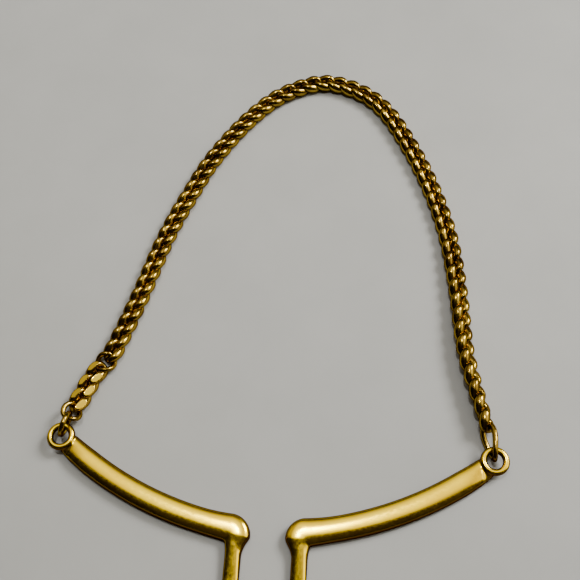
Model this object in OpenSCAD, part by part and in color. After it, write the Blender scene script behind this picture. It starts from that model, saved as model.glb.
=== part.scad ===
// Chain strap: a curb chain hung between the two eyes of a flat bar.
// The bar's two arms run into two stems that join in a closed U, which hooks over a button.
// Origin: centre of the U's closed end, on the face that lies down. +Y points to the chain, +Z up.

/* [Bar] */
// Distance between the centres of the two eyes
eye_span = 56; // [44:1:72]
// Rise of the eyes above the corner centres, along Y
eye_rise = 10.2; // [8:0.2:13]
// Width of an arm
arm_width = 3.1; // [2.4:0.1:3.8]
// Full thickness of the bar
bar_thickness = 1.6; // [1.2:0.1:2.2]
// Height of the upright edge below the dome
edge_height = 0.7; // [0.4:0.1:1]
// Slope of an arm where it leaves its corner
arm_start_slope = 7; // [4:1:14]

/* [Button loop] */
// Width of a stem
stem_width = 2; // [1.6:0.1:2.6]
// Clear width of the slot between the stems
slot_width = 6.2; // [5:0.1:8]
// Clear width of the mouth between the corners
mouth_width = 4.2; // [3.4:0.1:5]
// Length from the centre of the closed end to the corner centres
slot_length = 19.8; // [15:0.2:25]
// Radius of a rounded corner
corner_radius = 1.75; // [1.5:0.05:2.2]
// How far a corner swells above the bar
corner_swell = 0.12; // [0.08:0.02:0.2]
// Height of the neck between a corner and its stem
neck_height = 0.6; // [0.4:0.05:0.65]

/* [Eyes] */
// Radius of the middle of an eye's rim
eye_radius = 1.38; // [1.3:0.02:1.7]
// Radius of the rim's round section
eye_section = 0.46; // [0.4:0.01:0.52]
// Height of the middle of an eye above the table
eye_height = 1.35; // [1.25:0.05:1.5]

/* [Chain] */
// Distance from one link to the next
link_pitch = 2.115; // [1.8:0.005:2.6]
// Width of a link, outside
link_width = 2.85; // [2.5:0.05:3.6]
// Diameter of the wire of the links
wire = 0.65; // [0.5:0.01:0.72]
// Play between two hooked pieces
play = 0.2; // [0.12:0.01:0.3]
// Twist of a link from end to end, in degrees
link_twist = 90; // [80:1:100]
// Links between the round link and the end link
main_links = 58; // [46:1:66]
// Links that roll onto their edge before the right eye
rolling_links = 13; // [8:1:20]
// Roll of the chain where it reaches the right eye
edge_roll = -80; // [-90:1:-60]

/* [Connecting pieces] */
// Diameter of the wire of the rings
ring_wire = 0.62; // [0.5:0.01:0.68]
// Middle radius of the jump ring in the left eye
jump_radius = 1.5; // [1.4:0.05:1.8]
// Middle radius of the small connector ring
connector_radius = 1.2; // [1.1:0.05:1.5]
// Middle radius of the round link
round_radius = 1.3; // [1.2:0.05:1.6]
// Half length of the end link, at the middle of its wire
end_half_length = 2.3; // [2.1:0.05:2.8]
// Half width of the end link, at the middle of its wire
end_half_width = 1.15; // [1.05:0.05:1.4]

/* [Hidden] */
// Places of the chain on the table, as shares of half the eye span and of the loop's height
ROUTE = [
    [-0.96, 0.075], [-0.93, 0.11], [-0.91, 0.14], [-0.88, 0.165], [-0.845, 0.185],
    [-0.825, 0.21], [-0.805, 0.24], [-0.765, 0.305], [-0.725, 0.375], [-0.69, 0.445],
    [-0.65, 0.515], [-0.6, 0.585], [-0.545, 0.65], [-0.485, 0.72], [-0.415, 0.78],
    [-0.335, 0.84], [-0.245, 0.895], [-0.14, 0.945], [-0.015, 0.98], [0.125, 1],
    [0.27, 0.985], [0.4, 0.95], [0.495, 0.9], [0.57, 0.84], [0.64, 0.775],
    [0.7, 0.71], [0.75, 0.645], [0.795, 0.575], [0.825, 0.505], [0.845, 0.435],
    [0.86, 0.365], [0.87, 0.3], [0.885, 0.235], [0.92, 0.165], [0.96, 0.095], [0.985, 0.04]
];
route_steps = 8;
left_hook = 0.1;
right_hook = 0.2;
wire_rings = 18;
wire_sides = 6;
round_curve = 96;
gold = [0.86, 0.72, 0.36];
chain_gold = [0.68, 0.55, 0.25];
cut_gold = [0.93, 0.82, 0.5];

half_span = eye_span / 2;
eye_y = slot_length + eye_rise;
stem_x = (slot_width + stem_width) / 2;
corner_x = mouth_width / 2 + corner_radius;

// One chain piece: half length, half width, twist, wire, roundness, roll
link_half_length = (link_pitch + wire + play) / 2;
link_half_width = (link_width - wire) / 2;
LINK_ROUNDNESS = 2.3;
RING_ROUNDNESS = 2;
first_rolling = main_links - rolling_links;
function link_roll(k) = k <= first_rolling ? 0 : edge_roll * (k - first_rolling) / (rolling_links + 1);
function plain_link(roll) = [link_half_length, link_half_width, link_twist, wire, LINK_ROUNDNESS, roll];

PIECES = concat(
    [[jump_radius, jump_radius, 0, ring_wire, RING_ROUNDNESS, -80],
     [connector_radius, connector_radius, 34, ring_wire, RING_ROUNDNESS, 28]],
    [for (k = [1:3]) plain_link(0)],
    [[round_radius, round_radius - 0.05, 75, ring_wire, RING_ROUNDNESS, 0]],
    [for (k = [1:main_links]) plain_link(link_roll(k))],
    [[end_half_length, end_half_width, 50, wire, LINK_ROUNDNESS, -112]]
);
FIRST_MAIN = 6;
LAST = len(PIECES) - 1;

function overlap(i) = i < 0 || i >= LAST ? 0 : (PIECES[i][3] + PIECES[i + 1][3]) / 2 + play;

// Distance along the chain from the left eye to the start of each piece's own stretch
STARTS = [for (i = 0, s = left_hook; i <= LAST + 1;
    s = s + (i > LAST ? 0 : 2 * PIECES[i][0] - overlap(i - 1) / 2 - overlap(i) / 2), i = i + 1) s];
chain_length = STARTS[LAST + 1] + right_hook;

function bend(a, b, c, d, t) = 0.5 * (2 * b + (c - a) * t
    + (2 * a - 5 * b + 4 * c - d) * t * t + (3 * b - a - 3 * c + d) * t * t * t);
function knots(height) = concat([[-half_span, eye_y]],
    [for (p = ROUTE) [p[0] * half_span, eye_y + p[1] * height]], [[half_span, eye_y]]);
function curve(p) = let (n = len(p) - 1) concat(
    [for (i = [0:n - 1]) for (j = [0:route_steps - 1]) bend(
        i == 0 ? 2 * p[0] - p[1] : p[i - 1], p[i], p[i + 1],
        i == n - 1 ? 2 * p[n] - p[n - 1] : p[i + 2], j / route_steps)], [p[n]]);
function lengths(p) = [for (i = 0, s = 0; i < len(p);
    i = i + 1, s = s + (i < len(p) ? norm(p[i] - p[i - 1]) : 0)) s];
function curve_length(height) = let (l = lengths(curve(knots(height)))) l[len(l) - 1];
// The height of the loop at which the route is as long as the chain
function loop_height(low, high, n) = let (mid = (low + high) / 2)
    n == 0 ? mid : curve_length(mid) > chain_length
        ? loop_height(low, mid, n - 1) : loop_height(mid, high, n - 1);

HEIGHT = loop_height(0, 2 * chain_length, 26);
CURVE = curve(knots(HEIGHT));
ALONG = lengths(CURVE);
X_TABLE = [for (i = [0:len(CURVE) - 1]) [ALONG[i], CURVE[i][0]]];
Y_TABLE = [for (i = [0:len(CURVE) - 1]) [ALONG[i], CURVE[i][1]]];

// The middle line of a piece's wire, lying along X
function power(v, n) = sign(v) * pow(abs(v), 2 / n);
function wire_point(piece, t) = let (
    x = piece[0] * power(cos(t), piece[4]), y = piece[1] * power(sin(t), piece[4]),
    turn = piece[2] / 2 * x / piece[0]) [x, y * cos(turn), y * sin(turn)];
function half_height(piece) = piece[3] / 2 - min([for (j = [0:47]) let (p = wire_point(piece, j * 7.5))
    p[1] * sin(piece[5]) + p[2] * cos(piece[5])]);
HEIGHTS = [for (p = PIECES) half_height(p)];

function joint_height(i) = i == 0 ? HEIGHTS[0] : i > LAST ? HEIGHTS[LAST] : max(HEIGHTS[i - 1], HEIGHTS[i]);
JOINTS = [for (i = [0:LAST + 1])
    [lookup(STARTS[i], X_TABLE), lookup(STARTS[i], Y_TABLE), joint_height(i)]];

function unit(v) = v / norm(v);
// Middle and axes of a piece where it lies
function middle(i) = let (a = JOINTS[i], b = JOINTS[i + 1], x = unit(b - a))
    (a - x * overlap(i - 1) / 2 + b + x * overlap(i) / 2) / 2;
function axes(i) = let (x = unit(JOINTS[i + 1] - JOINTS[i]), y = unit(cross([0, 0, 1], x)), z = cross(x, y),
    r = PIECES[i][5]) [x, y * cos(r) + z * sin(r), z * cos(r) - y * sin(r)];

function tube_point(piece, t, side) = let (
    c = wire_point(piece, t), along = unit(wire_point(piece, t + 2) - wire_point(piece, t - 2)),
    turn = piece[2] / 2 * c[0] / piece[0], out = unit(cross(along, [0, -sin(turn), cos(turn)])),
    up = cross(out, along), a = 360 * side / wire_sides)
    c + piece[3] / 2 * (out * cos(a) + up * sin(a));

module chain_piece(i) {
    piece = PIECES[i];
    m = middle(i);
    a = axes(i);
    points = [for (j = [0:wire_rings - 1]) for (k = [0:wire_sides - 1])
        let (p = tube_point(piece, 360 * j / wire_rings, k)) m + a[0] * p[0] + a[1] * p[1] + a[2] * p[2]];
    function at(j, k) = (j % wire_rings) * wire_sides + k % wire_sides;
    faces = [for (j = [0:wire_rings - 1]) for (k = [0:wire_sides - 1]) for (half = [0, 1])
        half == 0 ? [at(j, k), at(j, k + 1), at(j + 1, k + 1)] : [at(j, k), at(j + 1, k + 1), at(j + 1, k)]];
    polyhedron(points, faces);
}

// Half of the bar's section: an upright edge, then three flats that make the dome
function half_section(width, top = bar_thickness) = let (h = width / 2, rise = top - edge_height) [
    [h, 0], [h, edge_height], [h * 0.86, edge_height + rise * 0.52],
    [h * 0.55, edge_height + rise * 0.87], [0, top]];

module section(width) {
    h = half_section(width);
    polygon(concat([for (p = h) p], [for (i = [len(h) - 2:-1:0]) [-h[i][0], h[i][1]]]));
}

module arc_bar(centre, radius, start, turn, width) {
    translate([centre[0], centre[1], 0]) rotate([0, 0, start])
        rotate_extrude(angle = turn, $fn = round_curve * 4) translate([radius, 0]) section(width);
}

module arm() {
    start = [corner_x, slot_length];
    chord = [half_span, eye_y] - start;
    turn = 2 * (atan2(chord[1], chord[0]) - arm_start_slope);
    radius = norm(chord) / (2 * sin(turn / 2));
    centre = start + radius * [-sin(arm_start_slope), cos(arm_start_slope)];
    arc_bar(centre, radius, arm_start_slope - 90, turn - eye_radius / radius * 180 / PI, arm_width);
}

module corner() {
    translate([corner_x, slot_length, 0]) rotate_extrude($fn = round_curve)
        polygon(concat([[0, 0]], half_section(2 * corner_radius, bar_thickness + corner_swell)));
    // The neck that narrows from the corner to the stem
    linear_extrude(neck_height) polygon([
        [mouth_width / 2, slot_length], [slot_width / 2, slot_length - 2 * corner_radius],
        [slot_width / 2 + stem_width, slot_length - 2 * corner_radius], [corner_x + corner_radius, slot_length]]);
}

module stem() {
    translate([stem_x, slot_length, 0]) rotate([90, 0, 0]) linear_extrude(slot_length) section(stem_width);
}

module eye() {
    translate([half_span, eye_y, eye_height]) rotate_extrude($fn = round_curve)
        translate([eye_radius, 0]) circle(eye_section, $fn = round_curve / 2);
}

module half_bar() {
    arm();
    corner();
    stem();
    eye();
}

module button_loop_bar() color(gold) {
    half_bar();
    mirror([1, 0, 0]) half_bar();
    arc_bar([0, 0], stem_x, 180, 180, stem_width);
}

// Links near the middle share a node two by two, so that the part has 60 nodes at most
pairs = max(0, main_links - 52);
first_pair = floor(main_links / 2) - pairs + 2;
function digits(k) = k < 10 ? str("0", k) : str(k);
function in_pair(k) = k >= first_pair && k < first_pair + 2 * pairs;
function link_node(k) = let (low = k - (k - first_pair) % 2)
    in_pair(k) ? str("links_", digits(low), "_", digits(low + 1)) : str("link_", digits(k));

button_loop_bar();
color(chain_gold) chain_piece(0);  // jump_ring
color(chain_gold) chain_piece(1);  // connector_ring
for (k = [1:3]) color(cut_gold) chain_piece(1 + k);
color(chain_gold) chain_piece(FIRST_MAIN - 1);  // round_link
for (k = [1:main_links]) color(chain_gold) chain_piece(FIRST_MAIN - 1 + k);
color(chain_gold) chain_piece(LAST);  // end_link
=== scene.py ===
# %% [markdown]
# # A gold chain strap on a button bar, dressed for its portrait
# The strap is a curb chain hung between the two eyes of a flat cast bar.
# A bare model of it is already packed, piece by piece, with its joints.
# This lesson puts the real finish on it: a smooth cast and polished bar, round bent wire in
# each link, flat cuts on the three connecting links, and a plated gold surface.
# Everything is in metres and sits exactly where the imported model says.

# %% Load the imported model
import math

import bpy
import numpy as np
from mathutils import Matrix, Vector


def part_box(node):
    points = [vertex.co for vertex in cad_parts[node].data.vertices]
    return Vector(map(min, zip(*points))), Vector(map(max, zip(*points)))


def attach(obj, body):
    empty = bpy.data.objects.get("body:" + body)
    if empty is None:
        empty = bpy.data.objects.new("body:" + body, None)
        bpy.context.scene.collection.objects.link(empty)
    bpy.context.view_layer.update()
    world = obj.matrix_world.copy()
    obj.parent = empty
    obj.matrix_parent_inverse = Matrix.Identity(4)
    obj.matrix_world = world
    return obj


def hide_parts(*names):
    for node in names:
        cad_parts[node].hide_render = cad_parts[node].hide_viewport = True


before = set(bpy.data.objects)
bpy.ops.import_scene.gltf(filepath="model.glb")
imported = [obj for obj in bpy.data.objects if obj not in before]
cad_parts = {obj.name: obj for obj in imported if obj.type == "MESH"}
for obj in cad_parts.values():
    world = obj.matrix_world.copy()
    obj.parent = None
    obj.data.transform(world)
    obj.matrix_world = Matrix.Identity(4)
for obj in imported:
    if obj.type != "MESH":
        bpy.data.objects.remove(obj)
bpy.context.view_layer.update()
MM = 0.001

# %% [markdown]
# ## The camera and what it looks at
# A camera is three things: a place, a direction and a roll about that direction.
# The strap lies on a table and is seen from above its button loop, about 26 degrees off
# straight down. The camera comes first so that every later look uses the same view.

# %% Camera
def make_camera(place, aim, roll, lens):
    data = bpy.data.cameras.new("portrait_camera")
    data.lens, data.sensor_width = lens, 36.0
    data.clip_start, data.clip_end = 0.005, 5.0
    camera = bpy.data.objects.new("portrait_camera", data)
    bpy.context.scene.collection.objects.link(camera)
    forward = Vector(aim).normalized()
    side = forward.cross(Vector((0, 0, 1))).normalized()
    top = side.cross(forward)
    right = side * math.cos(roll) + top * math.sin(roll)
    up = top * math.cos(roll) - side * math.sin(roll)
    turn = Matrix((right, up, -forward)).transposed().to_4x4()
    camera.matrix_world = Matrix.Translation(Vector(place) * MM) @ turn
    bpy.context.scene.camera = camera
    return camera


camera = make_camera((8.29, 4.1, 103.5), (-0.0688, 0.428, -0.9011), math.radians(-5.72), 50.1)
print("camera stands", round(camera.location.z * 1000), "mm above the table")

# %% [markdown]
# ## Sizes that the pieces share
# The chain is bent wire, so six numbers tell a link, in this order: half the length and half
# the width that the middle of its wire runs, how far it is twisted from end to end, how thick
# the wire is, how square the oval is (2 is a plain oval), and how far it is rolled over.
# Rings are the same thing with little twist or none. Lengths are in millimetres here and
# turned to metres when a mesh is made; twist and roll are in degrees.

# %% Sizes of bar and chain
EYE_SPAN, EYE_Y, SLOT_LENGTH = 56.0, 30.0, 19.8
LINK_PITCH, LINK_WIDTH, WIRE, RING_WIRE, PLAY = 2.115, 2.85, 0.65, 0.62, 0.2
MAIN_LINKS, ROLLING_LINKS, EDGE_ROLL = 58, 13, -80.0
LINK_ROUNDNESS, RING_ROUNDNESS = 2.3, 2.0


def plain_link(roll):
    return ((LINK_PITCH + WIRE + PLAY) / 2, (LINK_WIDTH - WIRE) / 2, 90, WIRE, LINK_ROUNDNESS, roll)


def link_roll(k):
    flat = MAIN_LINKS - ROLLING_LINKS
    return 0.0 if k <= flat else EDGE_ROLL * (k - flat) / (ROLLING_LINKS + 1)


WIRES = [(1.5, 1.5, 0, RING_WIRE, RING_ROUNDNESS, -80), (1.2, 1.2, 34, RING_WIRE, RING_ROUNDNESS, 28)]
WIRES += [plain_link(0)] * 3
WIRES += [(1.3, 1.25, 75, RING_WIRE, RING_ROUNDNESS, 0)]
WIRES += [plain_link(link_roll(k)) for k in range(1, MAIN_LINKS + 1)]
WIRES += [(2.3, 1.15, 50, WIRE, LINK_ROUNDNESS, -112)]
print("bent wire pieces:", len(WIRES))

# %% [markdown]
# ## Where each link lies
# The chain lies in an uneven arch. A handful of listed points, as shares of half the eye
# span and of the arch's height, is joined by a smooth curve through them. The arch's height
# is the one at which the curve is exactly as long as the chain, found by halving a guess.

# %% The chain's curve
ROUTE = [
    (-0.96, 0.075), (-0.93, 0.11), (-0.91, 0.14), (-0.88, 0.165), (-0.845, 0.185),
    (-0.825, 0.21), (-0.805, 0.24), (-0.765, 0.305), (-0.725, 0.375), (-0.69, 0.445),
    (-0.65, 0.515), (-0.6, 0.585), (-0.545, 0.65), (-0.485, 0.72), (-0.415, 0.78),
    (-0.335, 0.84), (-0.245, 0.895), (-0.14, 0.945), (-0.015, 0.98), (0.125, 1),
    (0.27, 0.985), (0.4, 0.95), (0.495, 0.9), (0.57, 0.84), (0.64, 0.775),
    (0.7, 0.71), (0.75, 0.645), (0.795, 0.575), (0.825, 0.505), (0.845, 0.435),
    (0.86, 0.365), (0.87, 0.3), (0.885, 0.235), (0.92, 0.165), (0.96, 0.095), (0.985, 0.04)]


def chain_curve(height, steps=8):
    knots = [(-EYE_SPAN / 2, EYE_Y)] + [(x * EYE_SPAN / 2, EYE_Y + y * height) for x, y in ROUTE]
    knots = np.array(knots + [(EYE_SPAN / 2, EYE_Y)])
    ends = np.vstack([2 * knots[0] - knots[1], knots, 2 * knots[-1] - knots[-2]])
    points = []
    for a, b, c, d in zip(ends, ends[1:], ends[2:], ends[3:]):
        for t in np.arange(steps) / steps:
            points.append(0.5 * (2 * b + (c - a) * t + (2 * a - 5 * b + 4 * c - d) * t * t
                                 + (3 * b - a - 3 * c + d) * t ** 3))
    points = np.array(points + [knots[-1]])
    along = np.r_[0, np.cumsum(np.linalg.norm(np.diff(points, axis=0), axis=1))]
    return points, along


# %% Spacing along the curve
def overlap(i):
    return 0 if i < 0 or i >= len(WIRES) - 1 else (WIRES[i][3] + WIRES[i + 1][3]) / 2 + PLAY


FIRST_GAP, LAST_GAP, HALVINGS = 0.1, 0.2, 27
starts = [FIRST_GAP]
for i, w in enumerate(WIRES):
    starts.append(starts[-1] + 2 * w[0] - overlap(i - 1) / 2 - overlap(i) / 2)
low, high = 0.0, 2 * starts[-1]
for _ in range(HALVINGS):
    middle = (low + high) / 2
    low, high = (low, middle) if chain_curve(middle)[1][-1] > starts[-1] + LAST_GAP else (middle, high)
curve, along = chain_curve((low + high) / 2)
print("chain", round(starts[-1], 2), "mm long, arch", round((low + high) / 2, 2), "mm high")

# %% [markdown]
# ## One bent wire
# The middle line of a link is a rounded oval. Twisting it steadily from one end to the other
# is what makes a curb chain lie flat. A tube is then swept round that line: many short rings
# of points, because polished metal shows every corner of a coarse mesh in its reflections.
# The press that twists a link also squeezes its sides fat, so the sides swell inwards and
# almost close the hole, while the ends, which the neighbours hook round, swell only a little.

# %% Middle line and sweep of a wire
LINK_MESH, CUT_MESH = (64, 14), (120, 28)
END_SWELL = 0.12


def wire_line(wire, t):
    length, width, twist, _, roundness, _ = wire
    x = length * np.sign(np.cos(t)) * np.abs(np.cos(t)) ** (2 / roundness)
    y = width * np.sign(np.sin(t)) * np.abs(np.sin(t)) ** (2 / roundness)
    turn = np.radians(twist) / 2 * x / length
    return np.stack([x, y * np.cos(turn), y * np.sin(turn)], axis=-1)


def even_steps(wire, count):
    t = np.linspace(0, 2 * np.pi, 1441)
    line = wire_line(wire, t)
    far = np.r_[0, np.cumsum(np.linalg.norm(np.diff(line, axis=0), axis=1))]
    return np.interp(np.arange(count) / count * far[-1], far, t)


def sweep_wire(wire, rings, sides, swell=0.0):
    t = even_steps(wire, rings)
    centre = wire_line(wire, t)
    ahead = np.roll(centre, -1, axis=0) - np.roll(centre, 1, axis=0)
    ahead /= np.linalg.norm(ahead, axis=1)[:, None]
    turn = np.radians(wire[2]) / 2 * centre[:, 0] / wire[0]
    flat = np.stack([0 * turn, -np.sin(turn), np.cos(turn)], axis=-1)
    out = np.cross(ahead, flat)
    out /= np.linalg.norm(out, axis=1)[:, None]
    up = np.cross(out, ahead)
    a = 2 * np.pi * np.arange(sides) / sides
    extra = wire[3] / 2 * swell * (END_SWELL + np.sin(t)[:, None] ** 2)
    centre = centre - out * extra
    thick = (wire[3] / 2 + extra)[..., None]
    points = centre[:, None] + thick * (out[:, None] * np.cos(a)[None, :, None]
                                        + up[:, None] * np.sin(a)[None, :, None])
    ring, side = np.meshgrid(np.arange(rings), np.arange(sides), indexing="ij")
    spot = lambda r, s: (r % rings) * sides + s % sides
    faces = np.stack([spot(ring, side), spot(ring, side + 1),
                      spot(ring + 1, side + 1), spot(ring + 1, side)], axis=-1).reshape(-1, 4)
    return points.reshape(-1, 3), faces


print("points in one link:", len(sweep_wire(WIRES[2], *LINK_MESH)[0]))

# %% [markdown]
# ## Placing a wire on the table
# Each piece points from its start on the curve to the next piece's start, and rolls about
# that line. Its height is set so that its lowest wire just rests on the table; hooked pieces
# share the height of the taller one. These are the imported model's own rules, so every link
# lands on its packed twin.

# %% Heights, middles and axes
def rest_height(wire):
    line = wire_line(wire, np.radians(np.arange(48) * 7.5))
    roll = math.radians(wire[5])
    return wire[3] / 2 - (line[:, 1] * math.sin(roll) + line[:, 2] * math.cos(roll)).min()


heights = [rest_height(w) for w in WIRES]
meet = [heights[0]] + [max(a, b) for a, b in zip(heights, heights[1:])] + [heights[-1]]
meeting = np.array([(np.interp(s, along, curve[:, 0]), np.interp(s, along, curve[:, 1]), z)
                    for s, z in zip(starts, meet)])


def place_of(i):
    a, b = meeting[i], meeting[i + 1]
    x = (b - a) / np.linalg.norm(b - a)
    centre = (a - x * overlap(i - 1) / 2 + b + x * overlap(i) / 2) / 2
    y = np.cross([0, 0, 1], x)
    y /= np.linalg.norm(y)
    z, r = np.cross(x, y), math.radians(WIRES[i][5])
    return centre, np.array([x, y * math.cos(r) + z * math.sin(r), z * math.cos(r) - y * math.sin(r)])


first_spot, last_spot = place_of(0)[0], place_of(len(WIRES) - 1)[0]
print("first ring rests at", np.round(first_spot, 2), "last link at", np.round(last_spot, 2))

# %% [markdown]
# ## Gold that isn't one colour
# Cheap jewellery is brass with a thin gold plate. It is a metal all through to the eye, so the
# shader is fully metallic, but four things vary over it: the tone, where the plate is thin
# or dull; the gloss, from handling; soft ripples from the polishing; and tiny scratches from
# wear. Each is a noise at its own scale. Noise is chosen over painted maps because it needs no
# unwrapping and no files. The bar also gets painted shade: its colour is darkened wherever
# its skin turns steep, which the upward part of its normal tells. A brown tint takes over at
# grazing angles, so that the rims don't flash white.

# %% Helpers for node materials
def node(tree, kind, **values):
    made = tree.nodes.new(kind)
    for key, value in values.items():
        if hasattr(made, key):
            setattr(made, key, value)
        else:
            made.inputs[key].default_value = value
    return made


def ramp(tree, source, stops):
    made = tree.nodes.new("ShaderNodeValToRGB")
    while len(made.color_ramp.elements) < len(stops):
        made.color_ramp.elements.new(0.5)
    for element, (place, colour) in zip(made.color_ramp.elements, stops):
        element.position = place
        element.color = (*colour, 1)
    tree.links.new(source, made.inputs["Fac"])
    return made.outputs["Color"]


COLOUR_A, COLOUR_B, COLOUR_OUT = 6, 7, 2     # a Mix node's sockets when it mixes colours


def multiplied(tree, first, second):
    made = node(tree, "ShaderNodeMix", data_type="RGBA", blend_type="MULTIPLY", Factor=1.0)
    tree.links.new(first, made.inputs[COLOUR_A])
    tree.links.new(second, made.inputs[COLOUR_B])
    return made.outputs[COLOUR_OUT]


# %% Plated gold
RIM_TINT = (0.14, 0.09, 0.03, 1.0)
# Painted shade: the bar's steep sides are darkened to the first colour, and the second leaves the
# colour as it is.
PAINTED_SHADE_TINT, UNSHADED_TINT = (0.15, 0.1, 0.03), (1.0, 1.0, 1.0)
SCRATCH_TURN, SCRATCH_STRETCH = (0.0, 0.0, 0.7), (1.0, 9.0, 1.0)
RIPPLE_DEPTH, SCRATCH_DEPTH = 0.00004, 0.000006


def plated_gold(name, light, deep, gloss, patch, scratch, grain, ripple, painted_shade_below=0.0):
    material = bpy.data.materials.new(name)
    material.use_nodes = True
    tree = material.node_tree
    shader = tree.nodes["Principled BSDF"]
    shader.inputs["Metallic"].default_value = 1.0
    shader.inputs["Specular Tint"].default_value = RIM_TINT
    place = node(tree, "ShaderNodeTexCoord").outputs["Object"]
    cloud = node(tree, "ShaderNodeTexNoise", Scale=patch, Detail=4.0, Roughness=0.6)
    fine = node(tree, "ShaderNodeTexNoise", Scale=grain, Detail=3.0, Roughness=0.65)
    for part in (cloud, fine):
        tree.links.new(place, part.inputs["Vector"])
    bright = tuple(c * 1.06 for c in light)
    tone = ramp(tree, cloud.outputs["Fac"], [(0.32, deep), (0.55, light), (0.8, bright)])
    # Painted shade: where the normal turns steep, the base colour is darkened towards dark brown.
    if painted_shade_below:
        facing = node(tree, "ShaderNodeTexCoord").outputs["Normal"]
        split = node(tree, "ShaderNodeSeparateXYZ")
        tree.links.new(facing, split.inputs[0])
        steep_painted_shade = ramp(tree, split.outputs["Z"], [(painted_shade_below - 0.2, PAINTED_SHADE_TINT), (painted_shade_below, UNSHADED_TINT)])
        tone = multiplied(tree, tone, steep_painted_shade)
    tree.links.new(tone, shader.inputs["Base Color"])
    shine = ramp(tree, fine.outputs["Fac"], [(0.3, (gloss[0],) * 3), (0.75, (gloss[1],) * 3)])
    tree.links.new(shine, shader.inputs["Roughness"])
    stretch = node(tree, "ShaderNodeMapping")
    stretch.inputs["Rotation"].default_value = SCRATCH_TURN
    stretch.inputs["Scale"].default_value = SCRATCH_STRETCH
    tree.links.new(place, stretch.inputs["Vector"])
    lines = node(tree, "ShaderNodeTexNoise", Scale=grain * 0.7, Detail=6.0, Roughness=0.7)
    tree.links.new(stretch.outputs["Vector"], lines.inputs["Vector"])
    waves = node(tree, "ShaderNodeTexNoise", Scale=ripple, Detail=1.0)
    tree.links.new(place, waves.inputs["Vector"])
    soft = node(tree, "ShaderNodeBump", Strength=0.35, Distance=RIPPLE_DEPTH)
    tree.links.new(waves.outputs["Fac"], soft.inputs["Height"])
    bump = node(tree, "ShaderNodeBump", Strength=scratch, Distance=SCRATCH_DEPTH)
    tree.links.new(lines.outputs["Fac"], bump.inputs["Height"])
    tree.links.new(soft.outputs["Normal"], bump.inputs["Normal"])
    tree.links.new(bump.outputs["Normal"], shader.inputs["Normal"])
    return material


# The bar's finish has painted shade on its steep sides.
bar_gold = plated_gold(
    "polished_bar_gold", light=(1.0, 0.70, 0.012), deep=(0.90, 0.57, 0.008), gloss=(0.12, 0.26),
    patch=90, scratch=0.4, grain=2600, ripple=110, painted_shade_below=0.8)
chain_gold = plated_gold(
    "worn_chain_gold", light=(0.38, 0.25, 0.035), deep=(0.17, 0.10, 0.015), gloss=(0.10, 0.26),
    patch=420, scratch=0.5, grain=5200, ripple=2400)
cut_gold = plated_gold(
    "cut_link_gold", light=(0.42, 0.27, 0.04), deep=(0.22, 0.13, 0.02), gloss=(0.10, 0.24),
    patch=420, scratch=0.4, grain=5200, ripple=2400)
flat_gold = plated_gold(
    "wheel_cut_gold", light=(1.0, 0.72, 0.05), deep=(0.95, 0.64, 0.03), gloss=(0.05, 0.12),
    patch=300, scratch=0.2, grain=5200, ripple=300)
print("gold finishes:", bar_gold.name, chain_gold.name, cut_gold.name, flat_gold.name)

# %% [markdown]
# ## From points to a piece
# A piece is a mesh, a finish, the body it moves with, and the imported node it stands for.
# One helper does all four, so no piece is ever left floating.

# %% Make a piece
def smooth_mesh(name, points, faces, sharp=None):
    mesh = bpy.data.meshes.new(name)
    mesh.from_pydata((np.asarray(points) * MM).tolist(), [], np.asarray(faces).tolist())
    mesh.update()
    mesh.shade_smooth()
    if sharp:
        mesh.set_sharp_from_angle(angle=math.radians(sharp))
    return mesh


def add_piece(name, mesh, finish, body, stands_for):
    piece = bpy.data.objects.new(name, mesh)
    bpy.context.scene.collection.objects.link(piece)
    mesh.materials.clear()
    mesh.materials.append(finish)
    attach(piece, body)
    if stands_for:
        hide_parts(stands_for)


# %% [markdown]
# ## Flat cuts on the three connecting links
# A flat-cut link is an ordinary link held against a wheel: wherever the wire bulged past a
# plane, it is now a small bright flat. Here every point beyond the plane slides back onto it.
# Two planes lean outwards over the link's two sides, so each side gets its own oval flat.
# The flats are told from the round wire by which points moved, and get a mirror-bright gold.

# %% Cut a link flat
CUT_LEAN, CUT_DEPTH, CUT_CORNER = 0.3, 0.22, 30


def cut_flat(points, lean, depth):
    moved = np.zeros(len(points), bool)
    for side in (-1, 1):
        normal = np.array([0.0, side * math.sin(lean), math.cos(lean)])
        reach = points @ normal
        level = reach.max() - depth
        over = np.clip(reach - level, 0, None)
        points = points - over[:, None] * normal
        moved |= over > 0
    return points, moved


sample = sweep_wire(WIRES[2], *CUT_MESH)[0]
print("a cut takes the link from", round(np.ptp(sample[:, 2]), 2), "to",
      round(np.ptp(cut_flat(sample, CUT_LEAN, CUT_DEPTH)[0][:, 2]), 2), "mm tall")

# %% [markdown]
# ## The chain
# Every link is the same recipe with its own place, so a loop makes them all. A few links near
# the arch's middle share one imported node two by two; each still gets its own piece, and the
# first of the two stands for the node. The swollen skins are kept just off the table.

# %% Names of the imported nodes
MAIN_NODES = 52
LEADING = ("jump_ring", "connector_ring", "cut_link_1", "cut_link_2", "cut_link_3", "round_link")
PAIRS = max(0, MAIN_LINKS - MAIN_NODES)
FIRST_PAIR = MAIN_LINKS // 2 - PAIRS + 2


def packed_name(i):
    if i < len(LEADING):
        return LEADING[i]
    k = i - len(LEADING) + 1
    if k > MAIN_LINKS:
        return "end_link"
    if FIRST_PAIR <= k < FIRST_PAIR + 2 * PAIRS:
        first = k - (k - FIRST_PAIR) % 2
        return f"links_{first:02d}_{first + 1:02d}"
    return f"link_{k:02d}"


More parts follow.
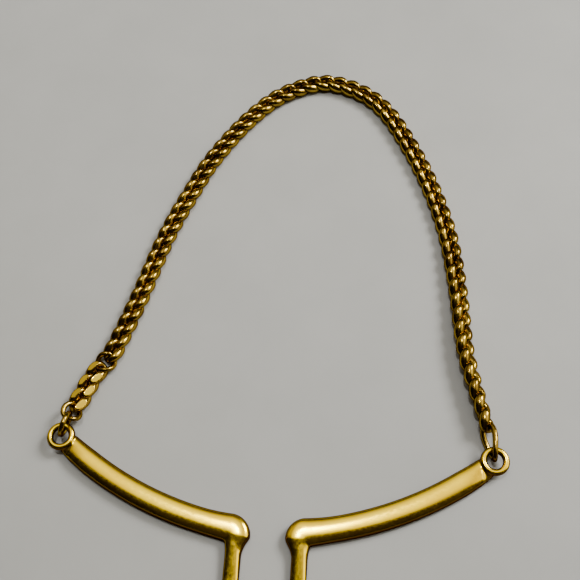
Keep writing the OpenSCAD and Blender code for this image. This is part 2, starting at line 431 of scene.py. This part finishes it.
# %% Build the chain
SIDE_SWELL, RING_SWELL, TABLE_GAP = 1.05, 0.12, 0.01
stood_for, off = set(), []
for i, wire in enumerate(WIRES):
    name = packed_name(i)
    cut = name.startswith("cut")
    swell = SIDE_SWELL if name.startswith(("link", "cut")) else RING_SWELL
    points, faces = sweep_wire(wire, *(CUT_MESH if cut else LINK_MESH), swell)
    if cut:
        points, moved = cut_flat(points, CUT_LEAN, CUT_DEPTH)
    centre, turned = place_of(i)
    points = centre + points @ turned
    points[:, 2] = np.maximum(points[:, 2], TABLE_GAP)
    mesh = smooth_mesh(f"wire_{i:02d}", points, faces, CUT_CORNER if cut else None)
    finish, slot = (cut_gold, "cut_gold") if cut else (chain_gold, "chain_gold")
    title = f"{name}_wire" if name not in stood_for else f"{name}_wire_b"
    add_piece(title, mesh, finish, name, None if name in stood_for else name)
    if cut:
        mesh.materials.append(flat_gold)
        for face, flat in zip(mesh.polygons, moved[faces].all(axis=1)):
            face.material_index = int(flat)
    if not name.startswith("links_"):
        box = np.array(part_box(name)) / MM
        off.append(np.abs((points.min(0) + points.max(0)) / 2 - box.mean(0)).max())
    stood_for.add(name)
print("links built:", len(WIRES), "largest distance from a packed twin:", round(max(off), 3), "mm")

# %% [markdown]
# ## The cast bar
# The bar was cast in one piece and polished, so nothing on it has a hard corner except the
# low edge all round. It could be one long sweep, but the places where arm and stem cross, and
# where arm and eye meet, aren't a sweep. Instead simple closed solids are laid over each other,
# melted into one skin on a fine grid, and rubbed smooth, much as the real one is cast and
# polished.

# %% A domed section and its sweep
ARM_WIDTH, STEM_WIDTH, THICK = 3.1, 2.0, 1.6
ARM_EDGE, LUG_EDGE, STEM_EDGE = 0.7, 0.75, 0.6
DOME_CURVE, FOOT_IN, FOOT_UP = 0.76, 0.06, 0.08


def dome(width, top, edge, count=27):
    a = np.linspace(0, np.pi, count)
    x = width / 2 * np.sign(np.cos(a)) * np.abs(np.cos(a)) ** DOME_CURVE
    z = edge + (top - edge) * np.abs(np.sin(a)) ** DOME_CURVE
    return np.vstack([[width / 2 - FOOT_IN, 0.0], [width / 2, FOOT_UP], np.c_[x, z],
                      [-width / 2, FOOT_UP], [-width / 2 + FOOT_IN, 0.0]])


def sweep_dome(path, widths, tops, edge):
    ahead = np.gradient(path, axis=0)
    ahead /= np.linalg.norm(ahead, axis=1)[:, None]
    side = np.c_[ahead[:, 1], -ahead[:, 0]]
    points = []
    for p, s, width, top in zip(path, side, widths, tops):
        shape = dome(width, top, edge)
        points += [(*(p + s * x), z) for x, z in shape]
    n = len(shape)
    faces = [(i * n + j, i * n + (j + 1) % n, (i + 1) * n + (j + 1) % n, (i + 1) * n + j)
             for i in range(len(path) - 1) for j in range(n)]
    faces += [tuple(range(n))[::-1], tuple(range((len(path) - 1) * n, len(path) * n))]
    return np.array(points), faces


section = dome(ARM_WIDTH, THICK, ARM_EDGE)
print("arm section:", len(section), "points,", round(section[:, 1].max(), 2), "mm tall")

# %% The arm's arc
CORNER_RADIUS, MOUTH, SLOT = 1.75, 4.2, 6.2
CORNER_X, STEM_X = MOUTH / 2 + CORNER_RADIUS, (SLOT + STEM_WIDTH) / 2
EYE_RADIUS, EYE_SECTION, EYE_HEIGHT = 1.43, 0.44, 1.35
ARM_STOP = EYE_RADIUS + 0.5
begin, eye = np.array([CORNER_X, SLOT_LENGTH]), np.array([EYE_SPAN / 2, EYE_Y])
slope = math.radians(7)
chord = eye - begin
turning = 2 * (math.atan2(chord[1], chord[0]) - slope)
radius = np.linalg.norm(chord) / (2 * math.sin(turning / 2))
hub = begin + radius * np.array([-math.sin(slope), math.cos(slope)])
angles = np.linspace(slope - np.pi / 2, slope - np.pi / 2 + turning - ARM_STOP / radius, 90)
arm_path = hub + radius * np.c_[np.cos(angles), np.sin(angles)]
to_eye = np.array([math.cos(slope + turning), math.sin(slope + turning)])
print("arm bends on a radius of", round(radius, 1), "mm, to", np.round(arm_path[-1], 2))

# %% [markdown]
# ## Arm, corner, lug, stem and eye
# The arm's dome comes up out of the stem, turns over the corner and runs out towards the eye.
# So the light that lies along the arm follows the corner round and stops where the dome drops
# to the stem, as it does on a bent and polished bar. At its far end the dome stops on a slant:
# its upper side runs on towards the eye, its lower side stops early, and a lower lug carries
# on into the ring. The stem is a narrower domed rod, and the two stems meet in a half ring.
# Each is built for the right side and mirrored.

# %% The corner, from stem to arm
ELBOW, HAND_OVER = 0.9, 3
RISE_LENGTH, RISE_STEPS, RISE_FROM = 2.3, 14, 1.25


def corner_path():
    lead = slope + HAND_OVER * (angles[1] - angles[0])
    pivot = arm_path[HAND_OVER] + ELBOW * np.array([math.sin(lead), -math.cos(lead)])
    bend = np.linspace(np.pi, lead + np.pi / 2, 19)[:-1]
    over = pivot + ELBOW * np.c_[np.cos(bend), np.sin(bend)]
    rise = np.linspace(0, 1, RISE_STEPS + 1)[:-1]
    up = np.c_[STEM_X + (over[0, 0] - STEM_X) * rise ** 1.5, over[0, 1] - RISE_LENGTH * (1 - rise)]
    return np.vstack([up, over]), rise


print("the corner starts at", np.round(corner_path()[0][0], 2))

# %% The arm and its slanting end
CORNER_WIDER, END_NARROWER, END_LOWER = 0.36, 0.35, 0.12
SLANT, SLANT_BACK = 0.5, 0.1
WIDE_UNTIL, NARROW_FROM, END_FROM = 0.2, 0.88, 0.9     # as shares of the arm's length


def late(share, start):
    return np.clip((share - start) / (1 - start), 0, 1)


def slant_end(points, path, share):
    ring = len(points) // len(path)
    across = np.array([-to_eye[1], to_eye[0]])
    for i, middle in enumerate(path):
        part = points[i * ring:(i + 1) * ring]
        offset = (part[:, :2] - middle) @ across
        part[:, :2] += late(share[i], END_FROM) * (SLANT * offset[:, None] - SLANT_BACK) * to_eye
    return points


def arm_solid():
    corner, rise = corner_path()
    arm = arm_path[HAND_OVER:]
    path = np.vstack([corner, arm])
    share = np.r_[np.zeros(len(corner)), np.linspace(0, 1, len(arm))]
    near_corner = np.clip(1 - share / WIDE_UNTIL, 0, 1) ** 2
    width = ARM_WIDTH - END_NARROWER * late(share, NARROW_FROM) + CORNER_WIDER * near_corner
    top = THICK - END_LOWER * late(share, END_FROM) ** 1.5
    width[:RISE_STEPS] = STEM_WIDTH + (width[RISE_STEPS] - STEM_WIDTH) * rise ** 1.7
    top[:RISE_STEPS] = RISE_FROM + (THICK - RISE_FROM) * rise
    points, faces = sweep_dome(path, width, top, ARM_EDGE)
    return slant_end(points, path, share), faces


# %% Lug, stem and eye
LUG_WIDTH, LUG_THINS, LUG_TOP, LUG_RISES = 2.85, 0.25, 1.28, 0.1
STEM_SHORT = 1.5
STEM_TOPS = [(-6, 1.1), (11, 1.06), (13.5, 1.03), (18.3, 1.5)]     # y, and the height there


def lug_solid(far=3.4, near=1.12, steps=16):
    path = eye - np.linspace(far, near, steps)[:, None] * to_eye
    share = np.linspace(0, 1, steps)
    return sweep_dome(path, LUG_WIDTH - LUG_THINS * share, LUG_TOP + LUG_RISES * share, LUG_EDGE)


def stem_solid():
    down = np.linspace(0, 1, 60)
    straight = np.c_[np.full(len(down), STEM_X), (SLOT_LENGTH - STEM_SHORT) * (1 - down)]
    bend = np.linspace(0, np.pi / 2, 30)[1:]
    path = np.vstack([straight, np.c_[STEM_X * np.cos(bend), -STEM_X * np.sin(bend)]])
    tops = np.interp(path[:, 1], *zip(*STEM_TOPS))
    return sweep_dome(path, np.full(len(path), STEM_WIDTH), tops, STEM_EDGE)


def ring_solid(sides=96, around=28):
    t, a = np.meshgrid(2 * np.pi * np.arange(sides) / sides,
                       2 * np.pi * np.arange(around) / around, indexing="ij")
    r = EYE_RADIUS + EYE_SECTION * np.cos(a)
    points = np.stack([eye[0] + r * np.cos(t), eye[1] + r * np.sin(t),
                       EYE_HEIGHT + EYE_SECTION * np.sin(a)], -1)
    spot = lambda i, j: (i % sides) * around + j % around
    faces = [(spot(i, j), spot(i + 1, j), spot(i + 1, j + 1), spot(i, j + 1))
             for i in range(sides) for j in range(around)]
    return points.reshape(-1, 3), faces


half = [arm_solid(), lug_solid(), stem_solid(), ring_solid()]
print("solids in one half of the bar:", len(half), "with", sum(len(p) for p, _ in half), "points")

# %% [markdown]
# ## Melt and polish
# Blender's voxel remesh finds one closed skin round everything that overlaps. It works on a
# grid, here eight hundredths of a millimetre, so it leaves small steps; a run of smoothing
# rubs them out and rounds the seams between the solids, which is just what polishing does to a
# casting. The work is done at a thousand times the size, where the grid can be that fine.

# %% One skin from many solids
def melt(name, solids, grid, rub):
    points, faces = [], []
    for part, sides in solids:
        faces += [tuple(len(points) + k for k in f) for f in sides]
        points += [tuple(p) for p in part]
    rough = bpy.data.meshes.new("rough_casting")
    rough.from_pydata(points, [], faces)
    work = bpy.data.objects.new("rough_casting", rough)
    bpy.context.scene.collection.objects.link(work)
    skin = work.modifiers.new("skin", "REMESH")
    skin.mode, skin.voxel_size, skin.adaptivity = "VOXEL", grid, 0.0
    polish = work.modifiers.new("polish", "SMOOTH")
    polish.factor, polish.iterations = 0.5, rub
    ready = bpy.data.meshes.new_from_object(work.evaluated_get(bpy.context.evaluated_depsgraph_get()))
    bpy.data.objects.remove(work)
    ready.name = name
    ready.transform(Matrix.Scale(MM, 4))
    ready.update()
    ready.shade_smooth()
    return ready


# %% Cast the bar
def mirrored(solid):
    points, faces = solid
    return points * [-1, 1, 1], [f[::-1] for f in faces]


bar_mesh = melt("cast_bar", half + [mirrored(solid) for solid in half], grid=0.08, rub=22)
add_piece("cast_bar", bar_mesh, bar_gold, "bar", "button_loop_bar")
print("bar skin:", len(bar_mesh.polygons), "faces")

# %% [markdown]
# ## Table
# The strap lies on a plain pale table, light grey with the faintest mottling. Its colour is
# painted a touch darker on the near side, where the bar's loop is: a painted shadow.

# %% Table top
TABLE_HALF = 1.5


def table_finish():
    material = bpy.data.materials.new("pale_table")
    material.use_nodes = True
    tree = material.node_tree
    shader = tree.nodes["Principled BSDF"]
    shader.inputs["Roughness"].default_value = 0.55
    place = node(tree, "ShaderNodeTexCoord").outputs["Object"]
    mottle = node(tree, "ShaderNodeTexNoise", Scale=60.0, Detail=5.0, Roughness=0.6)
    tree.links.new(place, mottle.inputs["Vector"])
    tone = ramp(tree, mottle.outputs["Fac"],
                [(0.3, (0.405, 0.412, 0.408)), (0.7, (0.445, 0.452, 0.448))])
    split = node(tree, "ShaderNodeSeparateXYZ")
    tree.links.new(place, split.inputs[0])
    # Painted shadow: the table's colour darkens towards its near side.
    near = ramp(tree, split.outputs["Y"], [(0.0, (0.86, 0.86, 0.86)), (0.07, (1.0, 1.0, 1.0))])
    tree.links.new(multiplied(tree, tone, near), shader.inputs["Base Color"])
    return material


table_mesh = bpy.data.meshes.new("table_top")
table_corners = [(x * TABLE_HALF, y * TABLE_HALF, 0) for x, y in [(-1, -1), (1, -1), (1, 1), (-1, 1)]]
table_mesh.from_pydata(table_corners, [], [(0, 1, 2, 3)])
table_mesh.materials.append(table_finish())
table_top = bpy.data.objects.new("table_top", table_mesh)
bpy.context.scene.collection.objects.link(table_top)
print("table is", 2 * TABLE_HALF, "m wide")

# %% [markdown]
# ## Light
# Polished metal shows the room more than itself, so most of the light is the room. It could
# be one even white, but gold under even light looks like yellow paint. Here the room is dark
# on the near side, where whoever looks at it stands, turns bright overhead within a few
# degrees, and dims again far beyond the strap. That draws the bright band along each arm, the
# dark line on its near side and the thin one on its far side. The room also fades to the left,
# and a little to the right before it brightens again further down that side, and it is nearly
# dark at the horizon. A wide soft lamp from the right makes the shadows, and a small one gives
# the white sparks on the corners and links.

# %% Room
NEAR_TO_FAR = [
    (0.215, (0.03, 0.021, 0.013)), (0.245, (0.75, 0.7, 0.58)), (0.32, (1.5, 1.42, 1.22)),
    (0.48, (1.3, 1.23, 1.06)), (0.58, (0.7, 0.66, 0.56)), (0.68, (0.13, 0.11, 0.08))]
LEFT_TO_RIGHT = [
    (0.26, (0.3, 0.27, 0.22)), (0.37, (1.0, 1.0, 1.0)), (0.57, (1.0, 1.0, 1.0)),
    (0.65, (0.6, 0.57, 0.5)), (0.74, (0.75, 0.72, 0.65)), (0.84, (1.5, 1.5, 1.45))]
HORIZON_TO_TOP = [(0.15, (0.1, 0.085, 0.07)), (0.5, (1.0, 1.0, 1.0))]
FAR_WAY = (0.12, 0.5, 0.0)


def scaled(tree, source, factor, offset):
    made = node(tree, "ShaderNodeMath", operation="MULTIPLY_ADD")
    made.inputs[1].default_value, made.inputs[2].default_value = factor, offset
    tree.links.new(source, made.inputs[0])
    return made.outputs["Value"]


def make_room(strength):
    world = bpy.data.worlds.new("room")
    world.use_nodes = True
    tree = world.node_tree
    back = tree.nodes["Background"]
    way = node(tree, "ShaderNodeTexCoord").outputs["Generated"]
    split = node(tree, "ShaderNodeSeparateXYZ")
    tree.links.new(way, split.inputs[0])
    beyond = node(tree, "ShaderNodeVectorMath", operation="DOT_PRODUCT")
    beyond.inputs[1].default_value = FAR_WAY
    tree.links.new(way, beyond.inputs[0])
    depth = ramp(tree, scaled(tree, beyond.outputs["Value"], 1.0, 0.25), NEAR_TO_FAR)
    sideways = ramp(tree, scaled(tree, split.outputs["X"], 0.5, 0.5), LEFT_TO_RIGHT)
    rise = ramp(tree, split.outputs["Z"], HORIZON_TO_TOP)
    room = multiplied(tree, multiplied(tree, depth, sideways), rise)
    tree.links.new(room, back.inputs["Color"])
    back.inputs["Strength"].default_value = strength
    bpy.context.scene.world = world


def soft_lamp(name, place, aim, size, power, colour):
    data = bpy.data.lights.new(name, "AREA")
    data.shape, data.size, data.size_y = "RECTANGLE", size[0], size[1]
    data.energy, data.color = power, colour
    lamp = bpy.data.objects.new(name, data)
    lamp.location = place
    lamp.rotation_euler = (Vector(aim) - Vector(place)).to_track_quat("-Z", "Y").to_euler()
    bpy.context.scene.collection.objects.link(lamp)


make_room(strength=1.22)
soft_lamp("window", (0.42, 0.34, 0.42), (0, 0.05, 0), (0.22, 0.22), 4.6, (1.0, 0.98, 0.94))
soft_lamp("spark", (-0.03, 0.12, 0.5), (0, 0.03, 0), (0.03, 0.018), 0.6, (1.0, 1.0, 1.0))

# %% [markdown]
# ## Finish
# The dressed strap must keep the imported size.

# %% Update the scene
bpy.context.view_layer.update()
